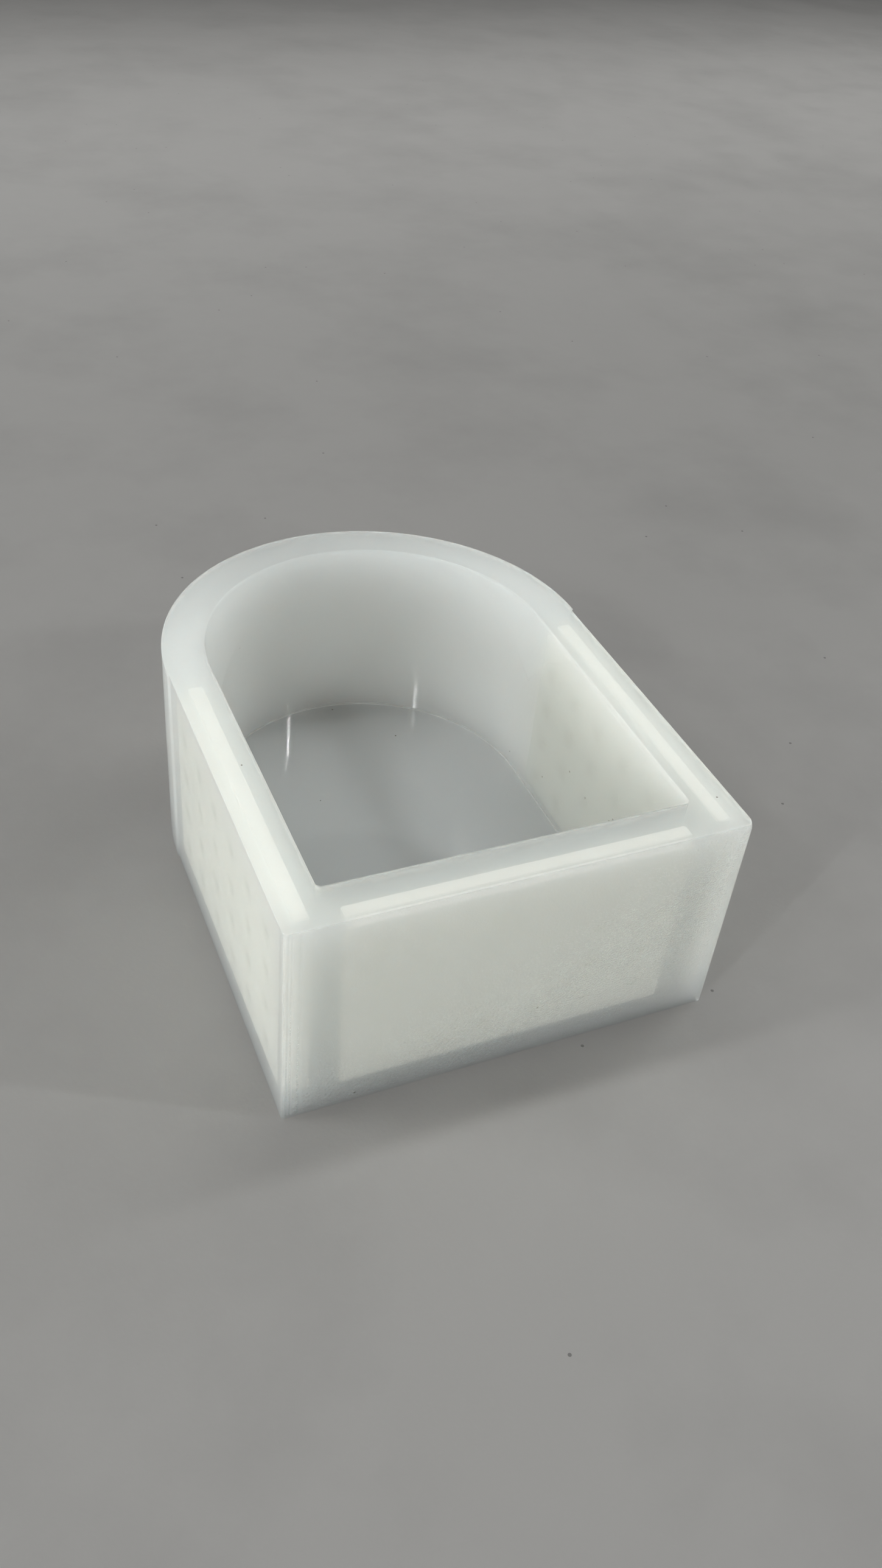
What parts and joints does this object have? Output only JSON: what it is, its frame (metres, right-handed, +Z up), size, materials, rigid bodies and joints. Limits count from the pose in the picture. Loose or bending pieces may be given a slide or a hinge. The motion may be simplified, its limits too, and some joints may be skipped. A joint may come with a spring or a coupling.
{
  "type": "silicone casting mould",
  "caption": "Open-top, arch-shaped silicone casting mould with a smooth cavity and perforated stiffener plates cast into its straight walls.",
  "frame": {"origin": "middle of the overall width and length, on the underside", "axes": "+Z up out of the open cavity, +Y towards the arched back wall, +X right when looking along +Y"},
  "size_m": [0.124, 0.164, 0.0675],
  "materials": {
    "silicone": "satin",
    "plate": "matte"
  },
  "bodies": {
    "root": {"silicone_body": "silicone", "front_stiffener_plate": "plate", "left_stiffener_plate": "plate", "right_stiffener_plate": "plate"}
  },
  "joints": []
}
